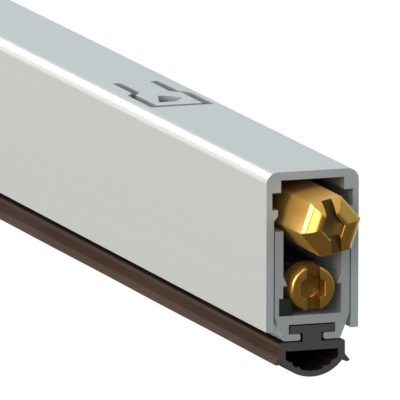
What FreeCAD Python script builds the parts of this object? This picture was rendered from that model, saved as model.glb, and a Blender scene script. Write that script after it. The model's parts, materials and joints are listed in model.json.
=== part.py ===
import FreeCAD, Part
import math
import os
import Sketcher
from types import SimpleNamespace
from FreeCAD import Placement, Rotation, Vector

# Automatic door bottom seal, 14 mm wide.
# Frame: X runs along the bar and the push knob is at its +X end, Y runs across, +Z is up.
# The origin is the centre of the casing's roof, on its outer face.
# Depths are measured down from that roof, with the seal raised as it is on an open door.

# Every size that can be set by itself, in millimetres or degrees.
SIZES = {
    # Casing: one extruded channel, open below
    "case_length": 330.0,
    "case_width": 14.0,
    "case_height": 23.15,
    "case_corner": 1.65,
    "roof_thickness": 1.2,
    "wall_thickness": 1.14,
    "groove_top": 3.0,
    "groove_height": 2.45,
    "groove_wall": 0.86,
    "groove_lip": 1.34,
    "rib_reach": 0.6,
    "rib_height": 0.95,
    "rib_slope": 0.7,
    # Tongue punched in the roof, which keys the rod guide
    "tongue_end": 55.4,
    "tongue_head_length": 10.4,
    "tongue_step": 1.8,
    "tongue_length": 20.7,
    "tongue_shoulder": 1.25,
    "slot_width": 1.25,
    "window_start": 3.7,
    "window_length": 5.2,
    "window_bend": 0.2,
    "window_notch": 0.7,
    # Drop bar: the extruded seal carrier
    "bar_clearance": 0.18,
    "wing_thickness": 1.26,
    "wing_top": 8.6,
    "vee_height": 1.5,
    "vee_above_floor": 4.35,
    "vee_reach": 0.62,
    "recess_depth": 0.62,
    "recess_height": 2.55,
    "floor_rise": 2.2,
    "web_thickness": 1.3,
    "foot_inset": 1.43,
    "tslot_wall": 0.72,
    "tslot_height": 1.4,
    "lip_reach": 1.76,
    "lip_thickness": 0.95,
    "lip_round": 0.3,
    "shoulder_drop": 0.1,
    # Gasket: rubber with a T-shaped root and a hollow bulb
    "gasket_clearance": 0.07,
    "gasket_seat_gap": 0.05,
    "slab_overhang": 0.775,
    "gasket_chamfer": 0.35,
    "slab_thickness": 1.25,
    "bulb_side_wall": 1.025,
    "bulb_bulge": 0.875,
    "bulb_wall": 0.85,
    "bulb_height": 5.35,
    "fin_below_slab": 2.35,
    "fin_reach": 0.65,
    "fin_drop": 0.95,
    "fin_thickness": 0.35,
    "bulb_rib": 0.3,
    # Damping strip in the carrier's lower corner
    "strip_width": 1.9,
    "strip_height": 2.4,
    "strip_clearance": 0.03,
    # Push rod and knob
    "rod_depth": 6.8,
    "rod_diameter": 5.0,
    "rod_bevel": 0.4,
    "rod_in_knob": 8.5,
    "rod_tail": 2.0,
    "running_clearance": 0.05,
    "knob_flats": 8.0,
    "knob_reach": 7.5,
    "knob_length": 22.0,
    "knob_front": 1.3,
    "knob_crown": 3.3,
    "knob_bore": 9.5,
    "knob_slot": 1.5,
    "knob_slot_depth": 1.25,
    "knob_socket": 3.0,
    "knob_socket_depth": 4.0,
    "knob_angle": 11.0,
    "nut_thickness": 3.2,
    "nut_gap": 0.2,
    "washer_diameter": 8.6,
    "washer_thickness": 1.0,
    # Blocks that hold the rod and the leaf springs
    "block_clearance": 0.12,
    "block_length": 12.0,
    "block_side_gap": 0.3,
    "block_under_eye": 0.2,
    "guide_length": 20.0,
    "guide_wall": 1.3,
    "guide_lead": 1.0,
    "fork_cheek": 1.0,
    "fork_side_gap": 0.2,
    "fork_top_gap": 0.15,
    "nose_clearance": 0.3,
    "nose_below_roof": 0.9,
    # Leaf springs and their pins
    "stop_gap": 0.2,
    "block_gap": 12.0,
    "spring_length": 90.0,
    "spring_thickness": 0.5,
    "eye_outer": 3.2,
    "pin_diameter": 2.0,
    "pin_clearance": 0.03,
    "rod_pin_diameter": 1.5,
    "rod_pin_offset": 3.6,
    "rod_pin_top": 2.2,
    "grub_diameter": 3.0,
    "grub_gap": 0.3,
    "grub_offset": 3.2,
    "grub_socket": 1.5,
    "grub_socket_depth": 1.2,
    # Shoes that tie the springs to the drop bar
    "shoe_length": 12.0,
    "shoe_clearance": 0.12,
    "shoe_above_vee": 0.55,
    "rivet_diameter": 2.4,
    "rivet_head": 4.0,
    "rivet_head_height": 0.9,
    "rivet_foot_gap": 1.5,
    # Return spring round the rod
    "wire_diameter": 0.8,
    "coil_diameter": 6.5,
    "coil_turns": 9,
    "coil_seat": 0.15,
    # Adjusting screw in the carrier and the block it threads into
    "screw_above_floor": 3.85,
    "screw_proud": 0.5,
    "screw_head": 6.6,
    "screw_head_length": 4.3,
    "screw_shank": 4.0,
    "screw_length": 20.0,
    "screw_slot": 2.0,
    "screw_slot_depth": 1.6,
    "screw_socket": 3.5,
    "screw_socket_depth": 2.6,
    "screw_chamfer": 0.3,
    "carrier_set_back": 8.5,
    "carrier_length": 14.0,
    "carrier_height": 6.05,
}

# Directions of the small ribs inside the bulb, in degrees from straight down
RIB_ANGLES = (-40, -24, 24, 40)
# Straight runs in a turn of the return spring, and sides of its wire
RUNS_PER_TURN = 12
WIRE_SIDES = 5


class Size:
    """A length that keeps its value together with the sheet expression that gives it."""

    def __init__(self, value, text):
        self.value = value
        self.text = text

    def __add__(self, other):
        return join(self, "+", other)

    def __radd__(self, other):
        return join(other, "+", self)

    def __sub__(self, other):
        return join(self, "-", other)

    def __rsub__(self, other):
        return join(other, "-", self)

    def __mul__(self, other):
        return join(self, "*", other)

    def __rmul__(self, other):
        return join(other, "*", self)

    def __truediv__(self, other):
        return join(self, "/", other)

    def __neg__(self):
        return Size(-self.value, f"(0 - {self.text})")

    def root(self):
        return Size(math.sqrt(self.value), f"sqrt({self.text})")


def as_size(number):
    """Let a plain number stand beside a Size."""
    if isinstance(number, Size):
        return number
    return Size(float(number), f"({number})")


def join(left, sign, right):
    """Join two sizes with an arithmetic sign, in value and in text."""
    left, right = as_size(left), as_size(right)
    value = {
        "+": lambda: left.value + right.value,
        "-": lambda: left.value - right.value,
        "*": lambda: left.value * right.value,
        "/": lambda: left.value / right.value,
    }[sign]()
    return Size(value, f"({left.text} {sign} {right.text})")


doc = FreeCAD.newDocument("DoorBottomSeal")
sheet = doc.addObject("Spreadsheet::Sheet", "Sizes")
for row, (name, number) in enumerate(SIZES.items(), 1):
    sheet.set(f"A{row}", name)
    sheet.set(f"B{row}", str(number))
    sheet.setAlias(f"B{row}", name)
doc.recompute()
size = SimpleNamespace(**{name: Size(number, f"Sizes.{name}") for name, number in SIZES.items()})
nodes = []


def bind(feature, path, length):
    """Give a property a length and bind it to the sheet."""
    feature.setExpression(path, as_size(length).text)


def new_body(label):
    """Start a sub-part as a body of its own."""
    body = doc.addObject("PartDesign::Body", label)
    body.Label = label
    nodes.append(body)
    return body


def sketch_on(body, plane, x=0, y=0, z=0, turn=0):
    """Make a sketch on one of the body's own origin planes: x and y lie in it, z is along its normal."""
    sketch = body.newObject("Sketcher::SketchObject", f"{body.Label}_sketch")
    support = next(item for item in body.Origin.OriginFeatures if item.Role == plane)
    sketch.AttachmentSupport = [(support, "")]
    sketch.MapMode = "FlatFace"
    base = Vector(as_size(x).value, as_size(y).value, as_size(z).value)
    sketch.AttachmentOffset = Placement(base, Rotation(Vector(0, 0, 1), as_size(turn).value))
    for letter, length in zip("xyz", (x, y, z)):
        if isinstance(length, Size):
            bind(sketch, f"AttachmentOffset.Base.{letter}", length)
    if isinstance(turn, Size):
        bind(sketch, "AttachmentOffset.Rotation.Angle", turn)
    return sketch


def constrain(sketch, constraints):
    """Add constraints, each with the size that drives it or None."""
    first = sketch.ConstraintCount
    sketch.addConstraint([constraint for constraint, _ in constraints])
    for index, (_, length) in enumerate(constraints, first):
        if length is not None:
            bind(sketch, f"Constraints[{index}]", length)


def draw_outline(sketch, outline):
    """Draw a closed outline of (x, y) corners. A third number is the radius of the arc to the next
    corner, positive where the arc turns left and negative where it turns right."""
    first = sketch.GeometryCount
    corners = [tuple(as_size(number) for number in corner) for corner in outline]
    ends = []
    for corner, following in zip(corners, corners[1:] + corners[:1]):
        start = Vector(corner[0].value, corner[1].value, 0)
        end = Vector(following[0].value, following[1].value, 0)
        if len(corner) == 3:
            radius = corner[2].value
            chord = end - start
            left = Vector(-chord.y, chord.x, 0).normalize()
            side = math.copysign(1, radius)
            rise = math.sqrt(max(radius**2 - (chord.Length / 2) ** 2, 0))
            centre = (start + end) / 2 + left * side * rise
            middle = centre - left * side * abs(radius)
            sketch.addGeometry(Part.Arc(start, middle, end))
            ends.append((1, 2) if side > 0 else (2, 1))
        else:
            sketch.addGeometry(Part.LineSegment(start, end))
            ends.append((1, 2))
    constraints = []
    for index, corner in enumerate(corners):
        here = first + index
        after = (index + 1) % len(corners)
        start, end = ends[index]
        next_start = ends[after][0]
        x, y = corner[0], corner[1]
        constraints.append((Sketcher.Constraint("Coincident", here, end, first + after, next_start), None))
        constraints.append((Sketcher.Constraint("DistanceX", here, start, x.value), x))
        constraints.append((Sketcher.Constraint("DistanceY", here, start, y.value), y))
        if len(corner) == 3:
            radius = corner[2] if corner[2].value > 0 else -corner[2]
            constraints.append((Sketcher.Constraint("Radius", here, radius.value), radius))
    constrain(sketch, constraints)


def draw_circle(sketch, x, y, diameter):
    """Draw a circle by its centre and diameter."""
    x, y, diameter = as_size(x), as_size(y), as_size(diameter)
    centre = Vector(x.value, y.value, 0)
    index = sketch.addGeometry(Part.Circle(centre, Vector(0, 0, 1), diameter.value / 2))
    constrain(
        sketch,
        [
            (Sketcher.Constraint("DistanceX", index, 3, x.value), x),
            (Sketcher.Constraint("DistanceY", index, 3, y.value), y),
            (Sketcher.Constraint("Diameter", index, diameter.value), diameter),
        ],
    )


def extrude(kind, sketch, length):
    """Pad along the sketch's normal, or pocket against it."""
    body = sketch.getParentGeoFeatureGroup()
    feature = body.newObject(f"PartDesign::{kind}", f"{body.Label}_{kind.lower()}")
    feature.Profile = sketch
    bind(feature, "Length", length)
    return feature


def pad_outline(body, plane, outline, length, **place):
    """Pad a closed outline along the plane's normal."""
    sketch = sketch_on(body, plane, **place)
    draw_outline(sketch, outline)
    return extrude("Pad", sketch, length)


def cut_outline(body, plane, outline, length, **place):
    """Pocket a closed outline against the plane's normal."""
    sketch = sketch_on(body, plane, **place)
    draw_outline(sketch, outline)
    return extrude("Pocket", sketch, length)


def pad_circles(body, plane, circles, length, **place):
    """Pad circles of (x, y, diameter) along the plane's normal."""
    sketch = sketch_on(body, plane, **place)
    for circle in circles:
        draw_circle(sketch, *circle)
    return extrude("Pad", sketch, length)


def cut_circles(body, plane, circles, length, **place):
    """Pocket circles of (x, y, diameter) against the plane's normal."""
    sketch = sketch_on(body, plane, **place)
    for circle in circles:
        draw_circle(sketch, *circle)
    return extrude("Pocket", sketch, length)


def turn_outline(body, outline, depth):
    """Turn a half profile of (x, radius) corners about an axis along the bar, at a depth below the roof."""
    sketch = sketch_on(body, "XZ_Plane", y=-depth)
    draw_outline(sketch, outline)
    feature = body.newObject("PartDesign::Revolution", f"{body.Label}_turned")
    feature.Profile = sketch
    feature.ReferenceAxis = (sketch, ["H_Axis"])
    feature.Angle = 360
    return feature


def rectangle(left, right, bottom, top):
    """Corners of an upright rectangle."""
    return [(left, bottom), (right, bottom), (right, top), (left, top)]


def hexagon(flats):
    """Corners of a hexagon by the distance across its flats, the first corner to the right."""
    corner = flats / math.sqrt(3)
    directions = [step * math.pi / 3 for step in range(6)]
    return [(corner * math.cos(angle), corner * math.sin(angle)) for angle in directions]


def mirrored(right):
    """Close a half outline, drawn down its right side, with its mirror image on the left."""
    left = []
    for index in range(len(right) - 1, -1, -1):
        arc = right[index - 1][2:] if index > 0 else ()
        left.append((-right[index][0], right[index][1]) + arc)
    return right + left


# Places that several pieces share
bar_end = size.case_length / 2
case_half = size.case_width / 2
wall_face = case_half - size.wall_thickness
groove_face = case_half - size.groove_wall
channel_face = groove_face - size.groove_lip
rib_face = wall_face - size.rib_reach
tongue_half = channel_face - size.slot_width
neck_half = tongue_half - size.tongue_shoulder
groove_floor = size.groove_top + size.groove_height
rib_bottom = groove_floor + size.rib_height
wing_outer = wall_face - size.bar_clearance
wing_inner = wing_outer - size.wing_thickness
vee_face = wing_inner - size.vee_reach
recess_face = wing_inner + size.recess_depth
floor_depth = size.case_height - size.floor_rise
vee_bottom = floor_depth - size.vee_above_floor
vee_top = vee_bottom - size.vee_height
foot_half = wing_outer - size.foot_inset
slot_half = foot_half - size.tslot_wall
mouth_half = slot_half - size.lip_reach
tslot_top = floor_depth + size.web_thickness
tslot_bottom = tslot_top + size.tslot_height
bar_bottom = tslot_bottom + size.lip_thickness
knob_shoulder = bar_end + size.knob_reach
knob_tail = knob_shoulder + size.knob_front - size.knob_length
nut_front = knob_tail - size.nut_gap
washer_front = nut_front - size.nut_thickness
screw_depth = floor_depth - size.screw_above_floor
block_waist = 2 * (vee_face - size.block_side_gap)
rod_bore = size.rod_diameter + 2 * size.running_clearance
pin_bore = size.pin_diameter + 2 * size.pin_clearance
rod_pin_hole = size.rod_pin_diameter + 2 * size.pin_clearance
grub_hole = size.grub_diameter + 2 * size.pin_clearance
rivet_hole = size.rivet_diameter + 2 * size.pin_clearance
fork_top = size.rod_depth + rod_bore / 2 + size.fork_top_gap
eye_depth = fork_top + size.fork_top_gap + size.eye_outer / 2
block_depth = eye_depth + size.eye_outer / 2 + size.block_under_eye
guide_depth = size.rod_depth + rod_bore / 2 + size.guide_wall
fork_width = block_waist - 2 * size.fork_cheek
spring_width = fork_width - 2 * size.fork_side_gap
guide_front = bar_end - size.tongue_end + size.guide_lead
guide_back = guide_front - size.guide_length
spring_pitch = size.spring_length + size.block_length + size.block_gap
first_eye = guide_back - size.stop_gap - size.block_length / 2
slider_eyes = [first_eye - step * spring_pitch for step in range(2)]
anchor_eyes = [eye - size.spring_length for eye in slider_eyes]
middles = [eye - size.spring_length / 2 for eye in slider_eyes]
rod_front = knob_tail + size.rod_in_knob
rod_back = slider_eyes[1] - size.block_length / 2 - size.rod_tail
screw_face = bar_end + size.screw_proud
shoe_top = vee_bottom - size.shoe_above_vee
rivet_foot = floor_depth - size.rivet_foot_gap
spring_sag = shoe_top - size.spring_thickness / 2 - eye_depth
strip_top = floor_depth - size.strip_height


# Casing: aluminium extrusion, an inverted channel with bracket grooves under its roof.
# A tongue with a window is punched through the roof near the knob end.
def make_casing():
    body = new_body("casing")
    half_outline = [
        (case_half - size.case_corner, 0, -size.case_corner),
        (case_half, -size.case_corner),
        (case_half, -size.case_height),
        (wall_face, -size.case_height),
        (wall_face, -(rib_bottom + size.rib_slope)),
        (rib_face, -rib_bottom),
        (rib_face, -groove_floor),
        (groove_face, -groove_floor),
        (groove_face, -size.groove_top),
        (channel_face, -size.groove_top),
        (channel_face, -size.roof_thickness),
    ]
    pad_outline(body, "YZ_Plane", mirrored(half_outline), size.case_length, z=-bar_end)
    neck_out = neck_half + size.slot_width
    front = bar_end - size.tongue_end
    head_back = front - size.tongue_head_length
    neck_start = head_back - size.tongue_step
    back = front - size.tongue_length
    slot = [
        (back, neck_out),
        (back, neck_half),
        (neck_start, neck_half),
        (head_back, tongue_half),
        (front - size.slot_width, tongue_half),
    ]
    outer = [
        (front, channel_face),
        (head_back, channel_face),
        (neck_start, neck_out),
    ]
    slot_right = slot + [(x, -y) for x, y in reversed(slot)]
    slot_left = [(x, -y) for x, y in reversed(outer)] + outer
    cut_outline(body, "XY_Plane", slot_right + slot_left, size.roof_thickness)
    window_front = front - size.window_start
    window_back = window_front - size.window_length
    window = [
        (window_front, -neck_half),
        (window_front, size.window_bend),
        (window_front - size.window_length / 2, neck_half),
        (window_back, size.window_bend),
        (window_back, -size.window_notch),
    ]
    cut_outline(body, "XY_Plane", window, size.roof_thickness)


# Drop bar: aluminium extrusion with two wings, ribs that hold the shoes, a floor and a T-slot below.
def make_drop_bar():
    body = new_body("drop_bar")
    lip_edge = mouth_half + size.lip_round
    under = [
        (wing_outer, -size.wing_top),
        (wing_outer, -(floor_depth + size.shoulder_drop)),
        (foot_half, -bar_bottom),
        (lip_edge, -bar_bottom, -size.lip_round),
        (mouth_half, -(bar_bottom - size.lip_round)),
        (mouth_half, -(tslot_bottom + size.lip_round), -size.lip_round),
        (lip_edge, -tslot_bottom),
        (slot_half, -tslot_bottom),
        (slot_half, -tslot_top),
    ]
    recess_top = floor_depth - size.recess_height
    inside = [
        (-wing_inner, -size.wing_top),
        (-wing_inner, -vee_top),
        (-vee_face, -vee_bottom),
        (-wing_inner, -vee_bottom),
        (-wing_inner, -recess_top),
        (-recess_face, -recess_top),
        (-recess_face, -floor_depth),
        (wing_inner, -floor_depth),
        (wing_inner, -vee_bottom),
        (vee_face, -vee_bottom),
        (wing_inner, -vee_top),
        (wing_inner, -size.wing_top),
    ]
    pad_outline(body, "YZ_Plane", mirrored(under) + inside, size.case_length, z=-bar_end)


# Gasket: extruded rubber. Its T-shaped root slides into the bar, and its hollow bulb meets the floor.
def make_gasket():
    body = new_body("gasket")
    head = slot_half - size.gasket_clearance
    stem = mouth_half - size.gasket_clearance
    head_top = tslot_top + size.gasket_clearance
    head_bottom = tslot_bottom - size.gasket_clearance
    slab_top = bar_bottom + size.gasket_seat_gap
    side = foot_half + size.slab_overhang
    radius = side + size.bulb_bulge
    bulb_centre = slab_top + size.bulb_height - radius
    fin_root = slab_top + size.fin_below_slab
    fin_tip = fin_root + size.fin_drop
    root = side - size.fin_thickness
    root_depth = bulb_centre + (radius * radius - root * root).root()
    half_outline = [
        (head, -head_top),
        (head, -head_bottom),
        (stem, -head_bottom),
        (stem, -slab_top),
        (side - size.gasket_chamfer, -slab_top),
        (side, -(slab_top + size.gasket_chamfer)),
        (side, -fin_root),
        (side + size.fin_reach, -fin_tip),
        (side + size.fin_reach - size.fin_thickness, -(fin_tip + size.fin_thickness / 2)),
        (root, -root_depth, -radius),
    ]
    pad_outline(body, "YZ_Plane", mirrored(half_outline), size.case_length, z=-bar_end)
    inner_radius = radius - size.bulb_wall
    inner_half = side - size.bulb_side_wall
    inner_side = bulb_centre + (inner_radius * inner_radius - inner_half * inner_half).root()
    chamber = [
        (-inner_half, -(slab_top + size.slab_thickness)),
        (-inner_half, -inner_side, inner_radius),
        (inner_half, -inner_side),
        (inner_half, -(slab_top + size.slab_thickness)),
    ]
    cut_outline(body, "YZ_Plane", chamber, size.case_length, z=bar_end)
    ribs = []
    for angle in RIB_ANGLES:
        across = inner_radius * math.sin(math.radians(angle))
        down = inner_radius * math.cos(math.radians(angle))
        ribs.append((across, -(bulb_centre + down), 2 * size.bulb_rib))
    pad_circles(body, "YZ_Plane", ribs, size.case_length, z=-bar_end)


# Damping strip: a dark plastic strip that lies in the bar's lower corner recess.
def make_corner_strip():
    body = new_body("corner_strip")
    left = -recess_face + size.strip_clearance
    bottom = -(floor_depth - size.strip_clearance)
    outline = rectangle(left, left + size.strip_width, bottom, bottom + size.strip_height)
    pad_outline(body, "YZ_Plane", outline, size.case_length, z=-bar_end)


# Block section: flanges that run in the casing's grooves, and a waist that drops between the bar's wings.
def block_outline(depth):
    gap = size.block_clearance
    half_outline = [
        (channel_face - gap, -(size.roof_thickness + gap)),
        (channel_face - gap, -(size.groove_top + gap)),
        (groove_face - gap, -(size.groove_top + gap)),
        (groove_face - gap, -(groove_floor - gap)),
        (rib_face - gap, -(groove_floor - gap)),
        (block_waist / 2, -rib_bottom),
        (block_waist / 2, -depth),
    ]
    return mirrored(half_outline)


# Rod guide: a black plastic block under the tongue, with a bore for the rod and a nose in the window.
def make_rod_guide():
    body = new_body("rod_guide")
    pad_outline(body, "YZ_Plane", block_outline(guide_depth), size.guide_length, z=guide_back)
    gap = size.nose_clearance
    front = bar_end - size.tongue_end - size.window_start - gap
    back = front - size.window_length + 2 * gap
    nose_half = neck_half - 1.5 * gap
    nose = [
        (front, -nose_half),
        (front, size.window_bend),
        ((front + back) / 2, nose_half),
        (back, size.window_bend),
        (back, gap - size.window_notch),
    ]
    top = -size.nose_below_roof
    base = -(size.roof_thickness + 2 * size.block_clearance)
    pad_outline(body, "XY_Plane", nose, top - base, z=base)
    bore = [(0, -size.rod_depth, rod_bore)]
    cut_circles(body, "YZ_Plane", bore, size.guide_length, z=guide_front)


# Spring block: carries one end of a leaf spring in a fork with a cross pin, and has a bore for the rod.
def make_spring_block(label, eye, offset, hole):
    body = new_body(label)
    back, front = eye - size.block_length / 2, eye + size.block_length / 2
    pad_outline(body, "YZ_Plane", block_outline(block_depth), size.block_length, z=back)
    fork = rectangle(-fork_width / 2, fork_width / 2, -block_depth, -fork_top)
    cut_outline(body, "YZ_Plane", fork, size.block_length, z=front)
    cut_circles(body, "YZ_Plane", [(0, -size.rod_depth, rod_bore)], size.block_length, z=front)
    cut_circles(body, "XZ_Plane", [(eye, -eye_depth, pin_bore)], block_waist, z=block_waist / 2)
    top = -(size.roof_thickness + size.block_clearance)
    cut_circles(body, "XY_Plane", [(eye + offset, 0, hole)], block_depth, z=top)


# Push rod: drawn steel rod that runs from the knob to the last slider.
def make_push_rod():
    body = new_body("push_rod")
    radius, bevel = size.rod_diameter / 2, size.rod_bevel
    profile = [
        (rod_back, 0),
        (rod_front, 0),
        (rod_front, radius - bevel),
        (rod_front - bevel, radius),
        (rod_back + bevel, radius),
        (rod_back, radius - bevel),
    ]
    turn_outline(body, profile, size.rod_depth)
    for eye in slider_eyes:
        cut_circles(body, "XY_Plane", [(eye + size.rod_pin_offset, 0, rod_pin_hole)], 2 * size.rod_depth)


# Push knob: brass hexagon bar with a six-sided pyramid front, a driver slot and a key socket.
def make_knob():
    body = new_body("push_knob")
    axis = {"y": -size.rod_depth, "turn": size.knob_angle}
    barrel = size.knob_length - size.knob_front
    pad_outline(body, "YZ_Plane", hexagon(size.knob_flats), barrel, z=knob_tail, **axis)
    rim = sketch_on(body, "YZ_Plane", z=knob_shoulder, **axis)
    draw_outline(rim, hexagon(size.knob_flats))
    crown = sketch_on(body, "YZ_Plane", z=knob_shoulder + size.knob_front, **axis)
    draw_outline(crown, hexagon(size.knob_crown))
    loft = body.newObject("PartDesign::AdditiveLoft", "push_knob_front")
    loft.Profile = rim
    loft.Sections = [crown]
    loft.Ruled = True
    front = knob_shoulder + size.knob_front
    bore_end = knob_tail + size.knob_bore
    cut_circles(body, "YZ_Plane", [(0, -size.rod_depth, rod_bore)], size.knob_bore, z=bore_end)
    cut_outline(body, "YZ_Plane", hexagon(size.knob_socket), size.knob_socket_depth, z=front, **axis)
    half_slot = size.knob_slot / 2
    slot = rectangle(-half_slot, half_slot, -size.knob_flats, size.knob_flats)
    cut_outline(body, "YZ_Plane", slot, size.knob_slot_depth, z=front, **axis)


# Lock nut behind the knob, and the washer that the return spring pushes on.
def make_lock_nut():
    body = new_body("lock_nut")
    axis = {"y": -size.rod_depth, "turn": size.knob_angle}
    pad_outline(body, "YZ_Plane", hexagon(size.knob_flats), size.nut_thickness, z=washer_front, **axis)
    cut_circles(body, "YZ_Plane", [(0, -size.rod_depth, rod_bore)], size.nut_thickness, z=nut_front)


def make_spring_washer():
    body = new_body("spring_washer")
    back = washer_front - size.washer_thickness
    rings = [(0, -size.rod_depth, size.washer_diameter), (0, -size.rod_depth, rod_bore)]
    pad_circles(body, "YZ_Plane", rings, size.washer_thickness, z=back)


# Return spring: steel wire wound round the rod between the guide and the washer.
# The coil is a chain of short straight runs of five-sided wire.
def make_return_spring():
    along = Vector(1, 0, 0)
    wire = size.wire_diameter.value / 2
    back = (guide_front + size.coil_seat).value + wire
    front = (washer_front - size.washer_thickness - size.coil_seat).value - wire
    runs = int(size.coil_turns.value * RUNS_PER_TURN)
    rings = []
    for step in range(runs + 1):
        turn = 2 * math.pi * step / RUNS_PER_TURN
        outward = Vector(0, math.cos(turn), math.sin(turn))
        axis = Vector(back + (front - back) * step / runs, 0, -size.rod_depth.value)
        centre = axis + outward * (size.coil_diameter.value / 2)
        ring = []
        for side in range(WIRE_SIDES):
            angle = 2 * math.pi * side / WIRE_SIDES
            ring.append(centre + outward * wire * math.cos(angle) + along * wire * math.sin(angle))
        rings.append(ring)
    faces = [flat_face(rings[0]), flat_face(rings[-1])]
    for ring, following in zip(rings, rings[1:]):
        for side in range(WIRE_SIDES):
            after = (side + 1) % WIRE_SIDES
            faces.append(flat_face([ring[side], ring[after], following[side]]))
            faces.append(flat_face([ring[after], following[after], following[side]]))
    coil = doc.addObject("Part::Feature", "return_spring")
    coil.Label = "return_spring"
    coil.Shape = Part.Solid(Part.Shell(faces))
    nodes.append(coil)


def flat_face(points):
    """A flat face from its corners."""
    return Part.Face(Part.makePolygon(points + points[:1]))


# Leaf spring: a bowed steel strip with an eye at each end and a rivet hole in the middle.
def make_leaf_spring(label, eye):
    body = new_body(label)
    half_width = spring_width / 2
    half_strip = size.spring_thickness / 2
    middle = eye - size.spring_length / 2
    half_chord = size.spring_length / 2
    sag = spring_sag
    radius = (half_chord * half_chord + sag * sag) / (2 * sag)
    reach = half_chord - size.eye_outer / 4
    centre = eye_depth + sag - radius
    outer, inner = radius + half_strip, radius - half_strip
    outer_end = centre + (outer * outer - reach * reach).root()
    inner_end = centre + (inner * inner - reach * reach).root()
    strip = [
        (middle - reach, -outer_end, outer),
        (middle + reach, -outer_end),
        (middle + reach, -inner_end, -inner),
        (middle - reach, -inner_end),
    ]
    pad_outline(body, "XZ_Plane", strip, spring_width, z=-half_width)
    eyes = [(middle + side * half_chord, -eye_depth, size.eye_outer) for side in (-1, 1)]
    pad_circles(body, "XZ_Plane", eyes, spring_width, z=-half_width)
    bores = [(x, depth, size.pin_diameter + 2 * size.running_clearance) for x, depth, _ in eyes]
    cut_circles(body, "XZ_Plane", bores, spring_width, z=half_width)
    hole_top = -(shoe_top - 1.5 * size.spring_thickness)
    cut_circles(body, "XY_Plane", [(middle, 0, rivet_hole)], 2 * size.spring_thickness, z=hole_top)


# Shoe section: its foot slides under the bar's ribs, with a notch over the damping strip.
def shoe_outline(top):
    gap = size.shoe_clearance
    foot = wing_inner - gap
    neck = vee_face - gap
    notch = -recess_face + size.strip_width + size.strip_clearance + gap
    return [
        (neck, -top),
        (-neck, -top),
        (-neck, -(vee_bottom + gap)),
        (-foot, -(vee_bottom + gap)),
        (-foot, -(strip_top - gap)),
        (notch, -(strip_top - gap)),
        (notch, -floor_depth),
        (foot, -floor_depth),
        (foot, -(vee_bottom + gap)),
        (neck, -(vee_bottom + gap)),
    ]


# Spring shoe: joins the middle of a leaf spring to the drop bar.
def make_shoe(label, middle):
    body = new_body(label)
    back = middle - size.shoe_length / 2
    pad_outline(body, "YZ_Plane", shoe_outline(shoe_top), size.shoe_length, z=back)
    cut_circles(body, "XY_Plane", [(middle, 0, rivet_hole)], rivet_foot - shoe_top, z=-shoe_top)


# Screw block: a plastic block held under the same ribs, which the adjusting screw threads into.
def make_screw_block():
    body = new_body("screw_block")
    front = bar_end - size.carrier_set_back
    back = front - size.carrier_length
    outline = shoe_outline(floor_depth - size.carrier_height)
    pad_outline(body, "YZ_Plane", outline, size.carrier_length, z=back)
    bore = [(0, -screw_depth, size.screw_shank + 2 * size.running_clearance)]
    cut_circles(body, "YZ_Plane", bore, size.carrier_length, z=front)


# Adjusting screw: brass, with a round head that has a driver slot and a key socket.
def make_adjusting_screw():
    body = new_body("adjusting_screw")
    place = {"y": -screw_depth}
    head_back, tip = screw_face - size.screw_head_length, screw_face - size.screw_length
    head, shank, bevel = size.screw_head / 2, size.screw_shank / 2, size.screw_chamfer
    profile = [
        (tip, 0),
        (screw_face, 0),
        (screw_face, head - bevel),
        (screw_face - bevel, head),
        (head_back, head),
        (head_back, shank),
        (tip + bevel, shank),
        (tip, shank - bevel),
    ]
    turn_outline(body, profile, screw_depth)
    upright = {"turn": 30, **place}
    socket = hexagon(size.screw_socket)
    cut_outline(body, "YZ_Plane", socket, size.screw_socket_depth, z=screw_face, **upright)
    half_slot = size.screw_slot / 2
    slot = rectangle(-half_slot, half_slot, -size.screw_head, size.screw_head)
    cut_outline(body, "YZ_Plane", slot, size.screw_slot_depth, z=screw_face, **place)


def upright_cylinder(name, x, diameter, top, height):
    """A vertical cylinder on the bar's centre plane, hung from its top."""
    cylinder = doc.addObject("Part::Cylinder", name)
    bind(cylinder, "Radius", diameter / 2)
    bind(cylinder, "Height", height)
    bind(cylinder, "Placement.Base.x", x)
    bind(cylinder, "Placement.Base.z", top - height)
    return cylinder


def cross_cylinder(name, x, diameter, depth, length):
    """A horizontal cylinder across the bar, centred on its middle plane."""
    cylinder = doc.addObject("Part::Cylinder", name)
    cylinder.Placement = Placement(Vector(), Rotation(Vector(1, 0, 0), 90))
    bind(cylinder, "Radius", diameter / 2)
    bind(cylinder, "Height", length)
    bind(cylinder, "Placement.Base.x", x)
    bind(cylinder, "Placement.Base.y", length / 2)
    bind(cylinder, "Placement.Base.z", -depth)
    return cylinder


def group(label, pieces):
    """Identical fasteners as one sub-part of separate solids."""
    compound = doc.addObject("Part::Compound", label)
    compound.Label = label
    compound.Links = pieces
    nodes.append(compound)


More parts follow.
